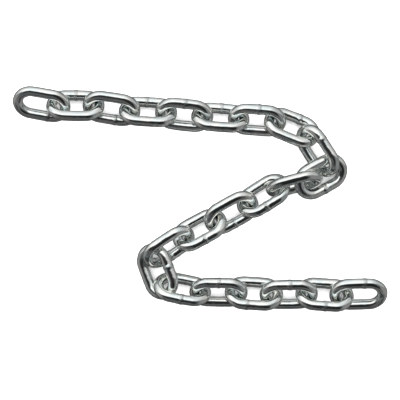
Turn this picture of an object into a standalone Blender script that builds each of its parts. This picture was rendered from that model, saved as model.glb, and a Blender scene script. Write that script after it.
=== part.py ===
"""A length of welded steel chain, laid on a level floor in the shape of a Z.

Twenty-two like links, each one piece of round wire bent and butt-welded into an oval. Every link
lies over on one of its long legs, and the next link leans the other way, through its eye. The
top run goes to the right, the middle run comes back down to the left and the bottom run goes
to the right again. Metres, +Z up, with the origin on the floor under the middle of the chain.
"""

import math

import bpy
import numpy as np
from mathutils import Euler, Matrix, Vector

# Driving dimensions of one link
WIRE = 0.0070
INSIDE_LENGTH = 0.0256
INSIDE_WIDTH = 0.0108

# Clear space left where one link's wire rests on the next one's
SEAT_GAP = 0.0005

# How finely the wire is divided: flats round it, and steps round each end and along each leg
WIRE_FLATS = 12
END_STEPS = 8
LEG_STEPS = 3

# Sizes of the wire's middle line, worked out from the link's
END_RADIUS = (INSIDE_WIDTH + WIRE) / 2
REACH = (INSIDE_LENGTH + WIRE) / 2
LEG_HALF = REACH - END_RADIUS

# The flats lie on the round wire's surface, so the corners between them stand a little proud
CORNER_RADIUS = WIRE / 2 / math.cos(math.pi / WIRE_FLATS)

# Settling the links on one another: how many passes, the points on each middle line, and the
# least level share of a contact's direction that a pass counts on, so that none slides far
SETTLE_PASSES = 80
SETTLE_POINTS = 72
LEAST_LEVEL = 0.5

# What a link and the link before it swing on: the wire of the link before, or the link's own
BEFORE, OWN = "before", "own"

# The link in the middle run that the others hang from, outwards to both ends
CARRYING_LINK = 12

# How each link lies: its middle from the photograph's top left corner, x to the right and y up,
# in millimetres; its heading in degrees, turning left; its lean in degrees, above zero where its
# left leg is the high one; how far its front end is tipped up; and the wire it swings on
LIES = (
    (29.4, -72.1, -10, 37, 0, OWN),
    (52.3, -73.1, -1, -38, 0, BEFORE),
    (76.8, -75.0, -9, 38, 0, OWN),
    (101.7, -77.3, -3.5, -42, 0, OWN),
    (126.2, -79.5, -6.5, 38, 0, OWN),
    (150.9, -81.2, -4.5, -45, 0, OWN),
    (175.8, -82.9, -4.5, 41, 0, OWN),
    (199.7, -87.7, -22, -36, 0, OWN),
    (216.8, -103.8, -57, 49, 0, OWN),
    (219.1, -121.3, -151.5, -20, 11, OWN),
    (201.1, -126.1, -165, -71, -1, OWN),
    (180.1, -134.4, -148, 38, 0, OWN),
    (158.4, -145.8, -151, -36, 0, OWN),
    (136.6, -157.4, -151.5, 39, 0, OWN),
    (115.7, -169.0, -146, -50, 0, BEFORE),
    (108.2, -186.1, -69.5, 27, 0, BEFORE),
    (125.0, -197.8, -10.5, -45, 0, BEFORE),
    (149.6, -199.9, -1, 44, 0, BEFORE),
    (173.7, -200.8, -3.5, -34, 0, OWN),
    (197.3, -201.4, 0.5, 43, 0, OWN),
    (221.7, -201.5, -4, -35, 0, BEFORE),
    (244.7, -201.2, 1, 37, 0, BEFORE),
)

COLLECTION_NAME = "steel_chain"
ZINC_COLOUR = (0.60, 0.61, 0.60, 1.0)
ZINC_ROUGHNESS = 0.28


def middle_line(end_steps, leg_steps):
    """Points of the wire's middle line in the link's own flat plane, one way round."""
    points = []
    for side in (1, -1):
        for step in range(leg_steps):
            along = -LEG_HALF + 2 * LEG_HALF * step / leg_steps
            points.append((side * along, -side * END_RADIUS))
        for step in range(end_steps):
            turn = math.pi * step / end_steps
            points.append((side * (LEG_HALF + END_RADIUS * math.sin(turn)),
                           -side * END_RADIUS * math.cos(turn)))
    return np.array(points)


def link_rotation(heading, lean, tip):
    """How a link is turned: local X along it, local Y across it, local Z through its eye."""
    return Euler((math.radians(lean), -math.radians(tip), math.radians(heading)))


class Lie:
    """One link at rest: where its middle is, how it is turned, and its middle line in space."""

    def __init__(self, x, y, heading, lean, tip, swings_on):
        self.lean = math.radians(lean)
        self.swings_on = swings_on
        self.rotation = link_rotation(heading, lean, tip)
        flat = middle_line(SETTLE_POINTS // 3, SETTLE_POINTS // 6)
        axes = np.array(self.rotation.to_matrix())
        self.shape = flat[:, :1] * axes[:, 0] + flat[:, 1:] * axes[:, 1]
        height = WIRE / 2 - self.shape[:, 2].min()
        self.place = np.array((x / 1000, y / 1000, height))

    def line(self):
        return self.shape + self.place

    def world(self):
        return Matrix.Translation(Vector(self.place)) @ self.rotation.to_matrix().to_4x4()


def nearest_points(line_a, line_b):
    """The shortest step from a point of one closed line to the other line, as a vector."""
    edge = np.roll(line_b, -1, axis=0) - line_b
    offset = line_a[:, None, :] - line_b[None, :, :]
    share = np.clip((offset * edge).sum(axis=2) / (edge * edge).sum(axis=1), 0, 1)
    step = share[:, :, None] * edge - offset
    length = (step * step).sum(axis=2)
    return step[np.unravel_index(length.argmin(), length.shape)]


def between(lie_a, lie_b):
    """The vector from one link's middle line to the other's, where they come closest."""
    forward = nearest_points(lie_a.line(), lie_b.line())
    backward = -nearest_points(lie_b.line(), lie_a.line())
    return min((forward, backward), key=np.linalg.norm)


def slide_apart(lie_a, lie_b, may_close):
    """Slide two links along the floor until their wires are one seat gap apart."""
    step = between(lie_a, lie_b)
    distance = np.linalg.norm(step)
    missing = WIRE + SEAT_GAP - distance
    if missing < 0 and not may_close:
        return
    level = np.array((step[0], step[1], 0.0)) / distance
    push = missing * level / max(np.linalg.norm(level), LEAST_LEVEL)
    lie_a.place -= push / 2
    lie_b.place += push / 2


def settle(lies):
    """Bring linked neighbours to one seat gap, and keep the links past them clear."""
    for _ in range(SETTLE_PASSES):
        for lie_a, lie_b in zip(lies, lies[1:]):
            slide_apart(lie_a, lie_b, may_close=True)
        for lie_a, lie_b in zip(lies, lies[2:]):
            slide_apart(lie_a, lie_b, may_close=False)


def centre_on_origin(lies):
    """Move the whole chain so that the middle of its plan is over the origin."""
    line = np.concatenate([lie.line() for lie in lies])
    middle = (line.min(axis=0) + line.max(axis=0)) / 2
    middle[2] = 0.0
    for lie in lies:
        lie.place -= middle


def swing_place(before, lie):
    """The joint of two linked links, where they touch, on the wire that they swing on.

    Local X runs along that wire, which is the joint's axis.
    """
    line_a, line_b = before.line(), lie.line()
    distance = np.linalg.norm(line_a[:, None, :] - line_b[None, :, :], axis=2)
    at_a, at_b = np.unravel_index(distance.argmin(), distance.shape)
    line, at = (line_b, at_b) if lie.swings_on == OWN else (line_a, at_a)
    along = Vector(line[(at + 1) % len(line)] - line[at - 1])
    turn = along.to_track_quat("X", "Z").to_matrix().to_4x4()
    return Matrix.Translation(Vector(line[at])) @ turn


def zinc_plated(name):
    """Bright zinc-plated steel, one material for each link."""
    material = bpy.data.materials.new(name)
    material.use_nodes = True
    shader = material.node_tree.nodes["Principled BSDF"]
    shader.inputs["Base Color"].default_value = ZINC_COLOUR
    shader.inputs["Metallic"].default_value = 1.0
    shader.inputs["Roughness"].default_value = ZINC_ROUGHNESS
    return material


def link_curve(name, lean):
    """The bent wire of one link, turned in its section so that it rests on one of its flats."""
    curve = bpy.data.curves.new(name, "CURVE")
    curve.dimensions = "3D"
    curve.twist_mode = "Z_UP"
    curve.bevel_depth = CORNER_RADIUS
    curve.bevel_resolution = WIRE_FLATS // 2 - 2
    spline = curve.splines.new("POLY")
    points = middle_line(END_STEPS, LEG_STEPS)
    spline.points.add(len(points) - 1)
    flat_step = 2 * math.pi / WIRE_FLATS
    tilt = flat_step / 2 - abs(lean) % flat_step
    for point, (along, across) in zip(spline.points, points):
        point.co = (along, across, 0.0, 1.0)
        point.tilt = tilt
    spline.use_cyclic_u = True
    spline.use_smooth = True
    return curve


def place_under(carrier, thing, world):
    """Parent a thing to its carrier and put it at a place in the world."""
    thing.parent = carrier
    bpy.context.view_layer.update()
    thing.matrix_world = world


def build():
    for old in list(bpy.data.objects):
        bpy.data.objects.remove(old, do_unlink=True)
    collection = bpy.data.collections.new(COLLECTION_NAME)
    bpy.context.scene.collection.children.link(collection)

    lies = [Lie(*lie) for lie in LIES]
    settle(lies)
    centre_on_origin(lies)

    outwards = [*range(CARRYING_LINK, len(lies) + 1), *range(CARRYING_LINK - 1, 0, -1)]
    pivots = {}
    for number in outwards:
        lie = lies[number - 1]
        world = lie.world()

        # Each link hangs from its neighbour nearer the carrying link, at their joint
        if number == CARRYING_LINK:
            carrier, pivot_world = None, world
        elif number > CARRYING_LINK:
            carrier, pivot_world = pivots[number - 1], swing_place(lies[number - 2], lie)
        else:
            carrier, pivot_world = pivots[number + 1], swing_place(lie, lies[number])

        pivot = bpy.data.objects.new(f"pivot_{number:02d}", None)
        collection.objects.link(pivot)
        place_under(carrier, pivot, pivot_world)
        pivots[number] = pivot

        name = f"link_{number:02d}"
        curve = link_curve(name, lie.lean)
        curve.materials.append(zinc_plated(f"zinc_plate_{number:02d}"))
        link = bpy.data.objects.new(name, curve)
        collection.objects.link(link)
        place_under(pivot, link, world)


build()
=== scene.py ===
"""Dresses a length of zinc-plated steel chain, laid on a pale floor in a Z.

Each link of the CAD model is replaced by a smooth one in the same place, made of wire that is a
little thicker before its hollows are pressed in, with slightly bowed legs and with its butt weld
on the leg where the photograph shows it. Metres, +Z up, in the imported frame.
"""

import math

import bpy
import numpy as np
from mathutils import Matrix, Vector


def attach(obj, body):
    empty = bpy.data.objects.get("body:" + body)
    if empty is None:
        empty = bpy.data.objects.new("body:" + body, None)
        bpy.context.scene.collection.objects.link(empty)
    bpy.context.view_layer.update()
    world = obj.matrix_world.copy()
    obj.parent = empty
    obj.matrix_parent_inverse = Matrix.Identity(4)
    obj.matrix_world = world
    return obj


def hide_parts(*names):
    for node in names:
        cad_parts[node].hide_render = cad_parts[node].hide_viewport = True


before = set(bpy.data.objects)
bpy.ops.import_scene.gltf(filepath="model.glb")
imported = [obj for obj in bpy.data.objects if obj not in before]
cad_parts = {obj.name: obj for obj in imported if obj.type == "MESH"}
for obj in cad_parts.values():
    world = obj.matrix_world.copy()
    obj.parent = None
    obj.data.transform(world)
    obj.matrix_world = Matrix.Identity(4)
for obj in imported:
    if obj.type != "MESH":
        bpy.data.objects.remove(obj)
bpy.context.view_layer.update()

bl_info = {
    "name": "Steel chain",
    "version": (1, 0, 0),
    "blender": (4, 5, 0),
    "location": "View3D > Sidebar > Steel chain",
    "description": "Makes the links of a zinc-plated steel chain, and their floor and light",
    "category": "Object",
}

TREE_NAME = "Chain link"
LINKS = sorted(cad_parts)

# Where each link's weld is: on its high leg or its low one, and how many millimetres it lies
# from the leg's middle towards the next link
WELDS = {
    1: ("low", 5.0), 2: ("low", 0.0), 3: ("low", 3.4), 4: ("low", -1.3), 5: ("high", 0.0),
    6: ("low", 0.3), 7: ("high", 0.8), 8: ("low", 3.0), 9: ("high", -5.0), 10: ("low", 1.0),
    11: ("low", -1.0), 12: ("high", 2.3), 13: ("low", 1.5), 14: ("high", -0.5), 15: ("low", 2.0),
    16: ("high", -0.5), 17: ("high", 0.5), 18: ("high", 0.0), 19: ("high", -4.5),
    20: ("high", 0.6), 21: ("high", 0.5), 22: ("high", 4.0),
}

# Points on the wire's middle line and round its section, and the steps of each rounded end
LINE_POINTS = 216
ROUND_POINTS = 36
END_STEPS = 24

# How far from the link's middle the bow of a leg reaches, as a share of the link's length
BOW_REACH = 0.36

# The weld is a swelling of the wire with a flash in its middle: how many times narrower the flash
# is, and which share of the weld's height the swelling and the flash's lumps each add at most
FLASH_NARROWER = 4.5
SWELLING_SHARE = 0.9
FLASH_SHARE = 0.9

# How fine the flash's lumps and the wire's hollows are, the noise value where the wire is neither
# sunk nor raised, and how far the noises are moved on from one link to the next
LUMP_SCALE = 900.0
HOLLOW_SCALE = 130.0
HOLLOW_LEVEL = 0.4
SEED_STEP = (1.0, 0.7, 0.3)
DRAWN_SEED_STEP = 0.1

# Ripples that drawing and bending left in the wire: how much shorter they are round the wire
# than along it, how fine they are, and how high they stand beside the other marks
DRAWN_SHARE = 0.10
DRAWN_SCALE = 260.0
DRAWN_HEIGHT = 6.0

# The plate's other marks: how fine they are, and how high they stand
CLOUD_SCALE = 140.0
GRAIN_SCALE, GRAIN_HEIGHT = 1300.0, 0.2
SCRATCH_SCALE, SCRATCH_HEIGHT = 420.0, 0.5
SPATTER_SCALE, SPATTER_HEIGHT = 650.0, 2.6
BUMP_STRENGTH = 0.6
BUMP_DISTANCE = 0.00012

# Between which noise values the plate's film turns from thin to thick, how much the grain changes
# the roughness, and how much of the weld's own colour shows over it
FILM_EDGES = (0.36, 0.64)
GRAIN_ROUGHNESS = 0.10
WELD_TINT = 0.45

# What the chain reflects, by the angle in degrees from straight up, which is above zero towards
# the top of the picture: a dim room, and a bright panel that starts just past straight up. The
# tint is that of the whole room
ROOM_SHADES = (
    (-180, 0.03), (-150, 0.03), (-126, 0.05), (-114, 0.16), (-104, 0.10), (-90, 0.025),
    (-80, 0.03), (-72, 0.13), (-64, 0.09), (-54, 0.05), (-44, 0.10), (-34, 0.06),
    (-24, 0.02), (2, 0.02), (11, 0.75), (15, 1.0), (26, 0.95), (45, 0.84), (65, 0.72),
    (82, 0.56), (92, 0.40), (114, 0.22), (135, 0.06), (180, 0.03),
)
ROOM_TINT = (0.985, 1.0, 1.01)

# What is mixed in towards the sides and below: its name, the axis, the shade, the two places on
# the axis between which it comes in, and how much of it there is at most
SIDE_SHADES = (
    ("left wall", "X", 0.30, -0.55, -1.0, 0.6), ("dim right", "X", 0.10, 0.0, 0.5, 0.3),
    ("right wall", "X", 0.25, 0.30, 0.80, 0.6),
    ("paper under the chain", "Z", 0.80, -0.94, -1.0, 0.6),
)

# The dark card over the chain, towards the near side and a little to the right: its direction, its
# colour, and how far from its middle it is still whole and where it ends
DARK_CARD = (0.28, -0.56, 0.78)
CARD_COLOUR = (0.010, 0.011, 0.011)
CARD_WHOLE, CARD_END = 0.20, 0.50

# How wide a part of the sky the soft light comes from, in degrees
SOFT_LIGHT_SPREAD = 160

# The place on the floor that is in the middle of the picture
PICTURE_MIDDLE = (-0.0001, -0.0007)


class ChainSizes(bpy.types.PropertyGroup):
    """The sizes of one link and of its weld."""

    wire: bpy.props.FloatProperty(
        name="Wire", description="Thickness of the wire before its hollows are pressed in",
        default=0.0072, unit="LENGTH")
    inside_length: bpy.props.FloatProperty(
        name="Inside length", description="Length of a link's eye", default=0.0254, unit="LENGTH")
    inside_width: bpy.props.FloatProperty(
        name="Inside width", description="Width of a link's eye", default=0.0106, unit="LENGTH")
    leg_bow: bpy.props.FloatProperty(
        name="Leg bow", description="How far the middle of each leg is bowed outwards",
        default=0.0003, unit="LENGTH")
    weld_height: bpy.props.FloatProperty(
        name="Weld height", description="How proud the weld's flash stands",
        default=0.00022, unit="LENGTH")
    weld_length: bpy.props.FloatProperty(
        name="Weld length", description="Length of wire that the weld has swollen",
        default=0.0042, unit="LENGTH")
    dent_depth: bpy.props.FloatProperty(
        name="Dent depth", description="Depth of the shallow hollows left by bending and tumbling",
        default=0.00038, unit="LENGTH")


class ChainFinish(bpy.types.PropertyGroup):
    """The colours and gloss of the zinc plate."""

    cool_zinc: bpy.props.FloatVectorProperty(
        name="Cool zinc", description="Zinc plate where its film is thin", subtype="COLOR",
        default=(0.82, 0.87, 0.865))
    warm_zinc: bpy.props.FloatVectorProperty(
        name="Warm zinc", description="Zinc plate where its film is thick", subtype="COLOR",
        default=(0.95, 0.95, 0.91))
    weld_zinc: bpy.props.FloatVectorProperty(
        name="Weld zinc", description="Duller plate over the weld", subtype="COLOR",
        default=(0.50, 0.52, 0.51))
    roughness: bpy.props.FloatProperty(
        name="Roughness", description="Roughness of the bright plate", default=0.07, min=0, max=1)
    weld_roughness: bpy.props.FloatProperty(
        name="Weld roughness", description="Roughness over the weld", default=0.26, min=0, max=1)


class ChainStage(bpy.types.PropertyGroup):
    """The floor, the light and the camera."""

    floor_colour: bpy.props.FloatVectorProperty(
        name="Floor", description="Colour of the floor", subtype="COLOR",
        default=(0.92, 0.92, 0.92))
    floor_size: bpy.props.FloatProperty(
        name="Floor size", description="Side of the square floor", default=24.0, unit="LENGTH")
    daylight: bpy.props.FloatProperty(
        name="Soft light", description="Strength of the soft light from above", default=9.0)
    panel_light: bpy.props.FloatProperty(
        name="Panel light", description="Brightness of the light panel that the chain reflects",
        default=1.28)
    camera_height: bpy.props.FloatProperty(
        name="Camera height", description="Height of the camera over the floor",
        default=1.4, unit="LENGTH")
    view_width: bpy.props.FloatProperty(
        name="View width", description="Width of floor that the picture takes in",
        default=0.2735, unit="LENGTH")


class TreeMaker:
    """Adds nodes to a tree and joins them up, so that each line of a tree reads as one step."""

    def __init__(self, tree):
        self.tree = tree

    def add(self, kind, settings=None, **inputs):
        """A node of a kind, with its settings, and with its inputs given by their names."""
        node = self.tree.nodes.new(kind)
        for name, value in (settings or {}).items():
            setattr(node, name, value)
        for name, value in inputs.items():
            self.feed(node, name.replace("_", " "), value)
        return node

    def feed(self, node, name, value):
        """Give the first enabled input of that name a value, or join it to an output."""
        self.give(next(s for s in node.inputs if s.name == name and s.enabled), value)

    def give(self, socket, value):
        """Give one input a value, or join it to an output."""
        if isinstance(value, bpy.types.NodeSocket):
            self.tree.links.new(value, socket)
        else:
            socket.default_value = value

    def math(self, operation, *values, clamp=False):
        """The result of a Math node on numbers or outputs."""
        node = self.add("ShaderNodeMath", {"operation": operation, "use_clamp": clamp})
        for socket, value in zip(node.inputs, values):
            self.give(socket, value)
        return node.outputs[0]

    def vector_math(self, operation, *values, result="Vector"):
        """The result of a Vector Math node on vectors or outputs."""
        node = self.add("ShaderNodeVectorMath", {"operation": operation})
        for socket, value in zip([s for s in node.inputs if s.enabled], values):
            self.give(socket, value)
        return node.outputs[result]

    def scaled(self, vector, factor):
        """A vector times a number."""
        node = self.add(
            "ShaderNodeVectorMath", {"operation": "SCALE"}, Vector=vector, Scale=factor)
        return node.outputs["Vector"]


def chain_link_tree():
    """Geometry Nodes that bend one link from wire, weld it, dent it and put it in its place."""
    tree = bpy.data.node_groups.new(TREE_NAME, "GeometryNodeTree")
    tree.interface.new_socket("Link", in_out="OUTPUT", socket_type="NodeSocketGeometry")
    for name, kind in (
        ("Wire", "NodeSocketFloat"), ("Inside Length", "NodeSocketFloat"),
        ("Inside Width", "NodeSocketFloat"), ("Leg Bow", "NodeSocketFloat"),
        ("Weld Side", "NodeSocketFloat"), ("Weld Place", "NodeSocketFloat"),
        ("Weld Height", "NodeSocketFloat"), ("Weld Length", "NodeSocketFloat"),
        ("Dent Depth", "NodeSocketFloat"), ("Seed", "NodeSocketFloat"),
        ("Turn", "NodeSocketVector"), ("Middle", "NodeSocketVector"),
        ("Finish", "NodeSocketMaterial"),
    ):
        tree.interface.new_socket(name, in_out="INPUT", socket_type=kind)
    make = TreeMaker(tree)
    given = tree.nodes.new("NodeGroupInput").outputs

    # The wire's middle line: an oblong whose ends are rounded all the way
    width = make.math("ADD", given["Inside Width"], given["Wire"])
    length = make.math("ADD", given["Inside Length"], given["Wire"])
    oblong = make.add("GeometryNodeCurvePrimitiveQuadrilateral", Width=length, Height=width)
    rounded = make.add(
        "GeometryNodeFilletCurve", {"mode": "POLY"}, Curve=oblong.outputs["Curve"],
        Count=END_STEPS, Radius=make.math("MULTIPLY", width, 0.5), Limit_Radius=True)
    line = make.add(
        "GeometryNodeResampleCurve", Curve=rounded.outputs["Curve"], Count=LINE_POINTS)
    place = tree.nodes.new("GeometryNodeInputPosition").outputs["Position"]

    # The legs are bowed outwards a little, most of all in their middle
    spot = make.add("ShaderNodeSeparateXYZ", Vector=place)
    from_middle = make.math("DIVIDE", spot.outputs["X"], make.math("MULTIPLY", length, BOW_REACH))
    bulge = make.math(
        "SUBTRACT", 1.0, make.math("MULTIPLY", from_middle, from_middle), clamp=True)
    side = make.math("SIGN", spot.outputs["Y"])
    bow = make.add("ShaderNodeCombineXYZ", Y=make.math(
        "MULTIPLY", make.math("MULTIPLY", bulge, side), given["Leg Bow"]))
    bowed = make.add(
        "GeometryNodeSetPosition", Geometry=line.outputs["Curve"], Offset=bow.outputs["Vector"])

    kept = tree.nodes.new("GeometryNodeCaptureAttribute")
    kept.capture_items.new("VECTOR", "Line")
    tree.links.new(bowed.outputs["Geometry"], kept.inputs["Geometry"])
    tree.links.new(place, kept.inputs["Line"])
    on_line = kept.outputs["Line"]

    section = make.add(
        "GeometryNodeCurvePrimitiveCircle", Resolution=ROUND_POINTS,
        Radius=make.math("MULTIPLY", given["Wire"], 0.5))
    kept_section = tree.nodes.new("GeometryNodeCaptureAttribute")
    kept_section.capture_items.new("VECTOR", "Section")
    tree.links.new(section.outputs["Curve"], kept_section.inputs["Geometry"])
    tree.links.new(place, kept_section.inputs["Section"])
    tube = make.add(
        "GeometryNodeCurveToMesh", Curve=kept.outputs["Geometry"],
        Profile_Curve=kept_section.outputs["Geometry"])

    # How far along the welded leg a point lies from the weld, in half lengths of the weld
    parts = make.add("ShaderNodeSeparateXYZ", Vector=on_line)
    on_leg = make.math(
        "GREATER_THAN", make.math("MULTIPLY", parts.outputs["Y"], given["Weld Side"]), 0.0)
    off_weld = make.math("SUBTRACT", parts.outputs["X"], given["Weld Place"])
    half_length = make.math("MULTIPLY", given["Weld Length"], 0.5)
    half_lengths = make.math("DIVIDE", make.math("ABSOLUTE", off_weld), half_length)
    swelling = make.math("MULTIPLY", make.math("SUBTRACT", 1.0, half_lengths, clamp=True), on_leg)
    soft_swelling = make.add(
        "ShaderNodeMapRange", {"interpolation_type": "SMOOTHERSTEP"}, Value=swelling)
    off_flash = make.math("MULTIPLY", half_lengths, FLASH_NARROWER)
    flash = make.math("MULTIPLY", make.math("SUBTRACT", 1.0, off_flash, clamp=True), on_leg)

    # The flash is lumpy, and the rest of the wire has shallow hollows
    moved = make.vector_math("ADD", place, make.scaled(SEED_STEP, given["Seed"]))
    lumps = make.add("ShaderNodeTexNoise", Vector=moved, Scale=LUMP_SCALE, Detail=2.0)
    hollows = make.add("ShaderNodeTexNoise", Vector=moved, Scale=HOLLOW_SCALE, Detail=2.0)
    lumpy = make.math("MULTIPLY", flash, make.math("MULTIPLY", lumps.outputs["Fac"], FLASH_SHARE))
    swollen = make.math("MULTIPLY", soft_swelling.outputs["Result"], SWELLING_SHARE)
    raised = make.math("MULTIPLY", given["Weld Height"], make.math("ADD", swollen, lumpy))
    sunk = make.math(
        "MULTIPLY", given["Dent Depth"],
        make.math("SUBTRACT", hollows.outputs["Fac"], HOLLOW_LEVEL))
    outwards = make.vector_math("NORMALIZE", make.vector_math("SUBTRACT", place, on_line))
    worked = make.add(
        "GeometryNodeSetPosition", Geometry=tube.outputs["Mesh"],
        Offset=make.scaled(outwards, make.math("SUBTRACT", raised, sunk)))
    marked = make.add(
        "GeometryNodeStoreNamedAttribute", {"data_type": "FLOAT", "domain": "POINT"},
        Geometry=worked.outputs["Geometry"], Name="weld", Value=soft_swelling.outputs["Result"])

    # Where a point is on the wire, much shorter along it than round it, for the drawing marks
    along = make.scaled(on_line, DRAWN_SHARE)
    along_parts = make.add("ShaderNodeSeparateXYZ", Vector=along)
    round_parts = make.add("ShaderNodeSeparateXYZ", Vector=kept_section.outputs["Section"])
    on_wire = make.add(
        "ShaderNodeCombineXYZ", X=round_parts.outputs["X"], Y=round_parts.outputs["Y"],
        Z=make.math("MULTIPLY_ADD", given["Seed"], DRAWN_SEED_STEP, along_parts.outputs["X"]))
    for name, kind, value in (
        ("round_wire", "FLOAT_VECTOR", on_wire.outputs["Vector"]),
        ("along_wire", "FLOAT", along_parts.outputs["Y"]),
    ):
        marked = make.add(
            "GeometryNodeStoreNamedAttribute", {"data_type": kind, "domain": "POINT"},
            Geometry=marked.outputs["Geometry"], Name=name, Value=value)

    # Turned and moved to where the link lies, and no lower than the floor
    turn = make.add("FunctionNodeEulerToRotation", Euler=given["Turn"])
    lying = make.add(
        "GeometryNodeTransform", Geometry=marked.outputs["Geometry"],
        Translation=given["Middle"], Rotation=turn.outputs["Rotation"])
    above_floor = make.vector_math("MAXIMUM", place, (-1.0, -1.0, 0.0))
    resting = make.add(
        "GeometryNodeSetPosition", Geometry=lying.outputs["Geometry"], Position=above_floor)

    smooth = make.add("GeometryNodeSetShadeSmooth", Geometry=resting.outputs["Geometry"])
    real = make.add("GeometryNodeRealizeInstances", Geometry=smooth.outputs["Geometry"])
    finished = make.add(
        "GeometryNodeSetMaterial", Geometry=real.outputs["Geometry"], Material=given["Finish"])
    out = tree.nodes.new("NodeGroupOutput")
    tree.links.new(finished.outputs["Geometry"], out.inputs["Link"])
    return tree


def bright_zinc(finish):
    """Bright zinc plate: a mirror that is a little clouded, uneven and scratched."""
    material = bpy.data.materials.new("Bright zinc plate")
    material.use_nodes = True
    tree = material.node_tree
    shader = tree.nodes["Principled BSDF"]
    shader.inputs["Metallic"].default_value = 1.0
    make = TreeMaker(tree)
    place = tree.nodes.new("ShaderNodeTexCoord").outputs["Object"]

    clouds = make.add("ShaderNodeTexNoise", Vector=place, Scale=CLOUD_SCALE, Detail=3.0)
    film = make.add(
        "ShaderNodeMapRange", {"interpolation_type": "SMOOTHSTEP"},
        Value=clouds.outputs["Fac"], From_Min=FILM_EDGES[0], From_Max=FILM_EDGES[1])
    plate = make.add("ShaderNodeMix", {"data_type": "RGBA"}, Factor=film.outputs["Result"])
    weld = make.add("ShaderNodeAttribute", {"attribute_name": "weld"}).outputs["Fac"]
    colour = make.add(
        "ShaderNodeMix", {"data_type": "RGBA"}, Factor=make.math("MULTIPLY", weld, WELD_TINT))
    for mix, name, value in (
        (plate, "A", (*finish.cool_zinc, 1.0)), (plate, "B", (*finish.warm_zinc, 1.0)),
        (colour, "A", plate.outputs[2]), (colour, "B", (*finish.weld_zinc, 1.0)),
    ):
        make.feed(mix, name, value)
    tree.links.new(colour.outputs[2], shader.inputs["Base Color"])

    grain = make.add("ShaderNodeTexNoise", Vector=place, Scale=GRAIN_SCALE, Detail=4.0)
    clouded = make.math(
        "MULTIPLY_ADD", grain.outputs["Fac"], GRAIN_ROUGHNESS,
        finish.roughness - GRAIN_ROUGHNESS / 2)
    duller = make.math("MULTIPLY", weld, finish.weld_roughness - finish.roughness)
    rough = make.math("ADD", clouded, duller)
    tree.links.new(rough, shader.inputs["Roughness"])

    scratches = make.add(
        "ShaderNodeTexNoise", Vector=place, Scale=SCRATCH_SCALE, Detail=5.0, Distortion=1.2)
    spatter = make.add("ShaderNodeTexNoise", Vector=place, Scale=SPATTER_SCALE, Detail=1.0)
    round_wire = make.add("ShaderNodeAttribute", {"attribute_name": "round_wire"})
    along_wire = make.add("ShaderNodeAttribute", {"attribute_name": "along_wire"})
    drawn = make.add(
        "ShaderNodeTexNoise", {"noise_dimensions": "4D"}, Vector=round_wire.outputs["Vector"],
        W=along_wire.outputs["Fac"], Scale=DRAWN_SCALE, Detail=1.5)
    fine_marks = make.math(
        "ADD", make.math("MULTIPLY", scratches.outputs["Fac"], SCRATCH_HEIGHT),
        make.math("MULTIPLY", grain.outputs["Fac"], GRAIN_HEIGHT))
    skin = make.math(
        "ADD", make.math("MULTIPLY", drawn.outputs["Fac"], DRAWN_HEIGHT), fine_marks)
    on_weld = make.math("MULTIPLY", spatter.outputs["Fac"], weld)
    height = make.math("MULTIPLY_ADD", on_weld, SPATTER_HEIGHT, skin)
    bump = make.add(
        "ShaderNodeBump", Strength=BUMP_STRENGTH, Distance=BUMP_DISTANCE, Height=height)
    tree.links.new(bump.outputs["Normal"], shader.inputs["Normal"])
    return material


def pale_floor(stage):
    """A plain pale floor."""
    material = bpy.data.materials.new("Pale floor")
    material.use_nodes = True
    shader = material.node_tree.nodes["Principled BSDF"]
    shader.inputs["Base Color"].default_value = (*stage.floor_colour, 1.0)
    shader.inputs["Roughness"].default_value = 0.9
    shader.inputs["Specular IOR Level"].default_value = 0.1
    return material


def resting_places():
    """Each link's place, from its CAD solid: X towards the next link, Z up through its eye."""
    solids = {}
    for name in LINKS:
        # The solid is loose triangles, so each of its corners is counted once
        corners = np.array([v.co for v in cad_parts[name].data.vertices])
        corners = np.unique(corners.round(6), axis=0)
        middle = corners.mean(axis=0)
        spread, axes = np.linalg.eigh(np.cov((corners - middle).T))
        solids[name] = (middle, axes[:, spread.argmax()], axes[:, spread.argmin()])
    places = {}
    for number, name in enumerate(LINKS):
        middle, along, through = solids[name]
        ahead = solids[LINKS[min(number + 1, len(LINKS) - 1)]][0]
        behind = solids[LINKS[max(number - 1, 0)]][0]
        along = along * math.copysign(1, along @ (ahead - behind))
        through = through * math.copysign(1, through[2])
        turn = Matrix(np.column_stack((along, np.cross(through, along), through)).tolist())
        places[name] = (Vector(middle), turn)
    return places


def plain_mesh_piece(shape, name):
    """The evaluated shape as a plain mesh object, with its place in its mesh."""
    bpy.context.view_layer.update()
    evaluated = shape.evaluated_get(bpy.context.evaluated_depsgraph_get())
    mesh = bpy.data.meshes.new_from_object(evaluated)
    mesh.name = name
    shape.modifiers.clear()
    bpy.data.objects.remove(shape, do_unlink=True)
    piece = bpy.data.objects.new(name, mesh)
    bpy.context.scene.collection.objects.link(piece)
    return piece


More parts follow.
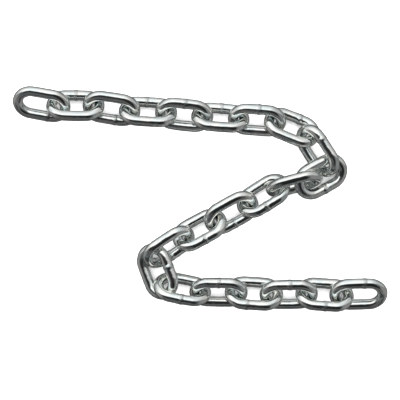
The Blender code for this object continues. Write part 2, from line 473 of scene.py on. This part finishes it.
class STEEL_CHAIN_OT_make_links(bpy.types.Operator):
    """Make a smooth, welded, zinc-plated link in the place of each CAD link"""

    bl_idname = "steel_chain.make_links"
    bl_label = "Make the links"

    def execute(self, context):
        sizes = context.scene.chain_sizes
        tree = chain_link_tree()
        zinc = bright_zinc(context.scene.chain_finish)
        sockets = {
            item.name: item.identifier
            for item in tree.interface.items_tree if item.in_out == "INPUT"
        }
        for number, (node, (middle, turn)) in enumerate(resting_places().items(), start=1):
            leg, off_middle = WELDS[number]
            left_is_high = turn.col[1][2] > 0
            shape = bpy.data.objects.new(node, bpy.data.meshes.new(node))
            context.scene.collection.objects.link(shape)
            maker = shape.modifiers.new(TREE_NAME, "NODES")
            maker.node_group = tree
            for name, value in {
                "Wire": sizes.wire,
                "Inside Length": sizes.inside_length,
                "Inside Width": sizes.inside_width,
                "Leg Bow": sizes.leg_bow,
                "Weld Side": 1.0 if left_is_high == (leg == "high") else -1.0,
                "Weld Place": off_middle / 1000,
                "Weld Height": sizes.weld_height,
                "Weld Length": sizes.weld_length,
                "Dent Depth": sizes.dent_depth,
                "Seed": float(number),
                "Turn": turn.to_euler(),
                "Middle": middle,
                "Finish": zinc,
            }.items():
                maker[sockets[name]] = value
            piece = plain_mesh_piece(shape, f"smooth_{node}")
            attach(piece, node)
            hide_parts(node)
        return {"FINISHED"}


def studio_world(stage):
    """What the chain reflects: a light panel past the top of the picture, and a dim room."""
    world = bpy.data.worlds.new("Studio")
    bpy.context.scene.world = world
    world.use_nodes = True
    tree = world.node_tree
    background = tree.nodes["Background"]
    make = TreeMaker(tree)
    direction = tree.nodes.new("ShaderNodeTexCoord").outputs["Generated"]
    parts = make.add("ShaderNodeSeparateXYZ", Vector=direction)

    # The angle from straight up, towards the top of the picture where it is above zero
    angle = make.math("ARCTAN2", parts.outputs["Y"], parts.outputs["Z"])
    turn_share = make.math("MULTIPLY_ADD", angle, 1 / math.tau, 0.5)
    ramp = make.add("ShaderNodeValToRGB", Fac=turn_share)
    stops = ramp.color_ramp.elements
    while len(stops) < len(ROOM_SHADES):
        stops.new(0.5)
    for stop, (degrees, shade) in zip(stops, ROOM_SHADES):
        stop.position = degrees / 360 + 0.5
        stop.color = (*(shade * tint for tint in ROOM_TINT), 1.0)
    seen = ramp.outputs["Color"]
    for name, axis, shade, start, end, most in SIDE_SHADES:
        towards = make.add(
            "ShaderNodeMapRange", {"interpolation_type": "SMOOTHSTEP"},
            Value=parts.outputs[axis], From_Min=start, From_Max=end, To_Max=most)
        room = make.add(
            "ShaderNodeMix", {"data_type": "RGBA", "label": name},
            Factor=towards.outputs["Result"])
        make.feed(room, "A", seen)
        make.feed(room, "B", (shade, shade, shade, 1.0))
        seen = room.outputs[2]
    off_card = make.vector_math("DISTANCE", direction, DARK_CARD, result="Value")
    card = make.add(
        "ShaderNodeMapRange", {"interpolation_type": "SMOOTHSTEP"},
        Value=off_card, From_Min=CARD_END, From_Max=CARD_WHOLE)
    overhead = make.add("ShaderNodeMix", {"data_type": "RGBA"}, Factor=card.outputs["Result"])
    make.feed(overhead, "A", seen)
    make.feed(overhead, "B", (*CARD_COLOUR, 1.0))
    tree.links.new(overhead.outputs[2], background.inputs["Color"])
    background.inputs["Strength"].default_value = stage.panel_light


class STEEL_CHAIN_OT_set_stage(bpy.types.Operator):
    """Lay the floor, set the light and point the camera straight down"""

    bl_idname = "steel_chain.set_stage"
    bl_label = "Set the stage"

    def execute(self, context):
        scene = context.scene
        stage = scene.chain_stage
        half = stage.floor_size / 2
        mesh = bpy.data.meshes.new("Floor")
        mesh.from_pydata(
            [(-half, -half, 0), (half, -half, 0), (half, half, 0), (-half, half, 0)], [],
            [(0, 1, 2, 3)])
        mesh.materials.append(pale_floor(stage))
        floor = bpy.data.objects.new("Floor", mesh)
        floor.visible_glossy = False
        scene.collection.objects.link(floor)

        light = bpy.data.lights.new("Soft light", "SUN")
        light.energy = stage.daylight
        light.angle = math.radians(SOFT_LIGHT_SPREAD)
        lamp = bpy.data.objects.new("Soft light", light)
        lamp.visible_glossy = False
        scene.collection.objects.link(lamp)

        studio_world(stage)

        camera = bpy.data.cameras.new("Camera")
        camera.lens = camera.sensor_width * stage.camera_height / stage.view_width
        eye = bpy.data.objects.new("Camera", camera)
        eye.location = (*PICTURE_MIDDLE, stage.camera_height)
        scene.collection.objects.link(eye)
        scene.camera = eye
        scene.view_settings.view_transform = "Standard"
        return {"FINISHED"}


class STEEL_CHAIN_PT_sidebar(bpy.types.Panel):
    """The chain's sizes and finish, and the steps that make it"""

    bl_idname = "STEEL_CHAIN_PT_sidebar"
    bl_label = "Steel chain"
    bl_space_type = "VIEW_3D"
    bl_region_type = "UI"
    bl_category = "Steel chain"

    def draw(self, context):
        scene = context.scene
        for group in (scene.chain_sizes, scene.chain_finish, scene.chain_stage):
            column = self.layout.column(align=True)
            for name in group.__annotations__:
                column.prop(group, name)
        for step in STEPS:
            self.layout.operator(step.bl_idname)


STEPS = (STEEL_CHAIN_OT_make_links, STEEL_CHAIN_OT_set_stage)
CLASSES = (ChainSizes, ChainFinish, ChainStage, *STEPS, STEEL_CHAIN_PT_sidebar)


def register():
    for cls in CLASSES:
        bpy.utils.register_class(cls)
    bpy.types.Scene.chain_sizes = bpy.props.PointerProperty(type=ChainSizes)
    bpy.types.Scene.chain_finish = bpy.props.PointerProperty(type=ChainFinish)
    bpy.types.Scene.chain_stage = bpy.props.PointerProperty(type=ChainStage)


def unregister():
    del bpy.types.Scene.chain_stage
    del bpy.types.Scene.chain_finish
    del bpy.types.Scene.chain_sizes
    for cls in reversed(CLASSES):
        bpy.utils.unregister_class(cls)


def main():
    register()
    bpy.ops.steel_chain.make_links()
    bpy.ops.steel_chain.set_stage()


if __name__ == "__main__":
    main()
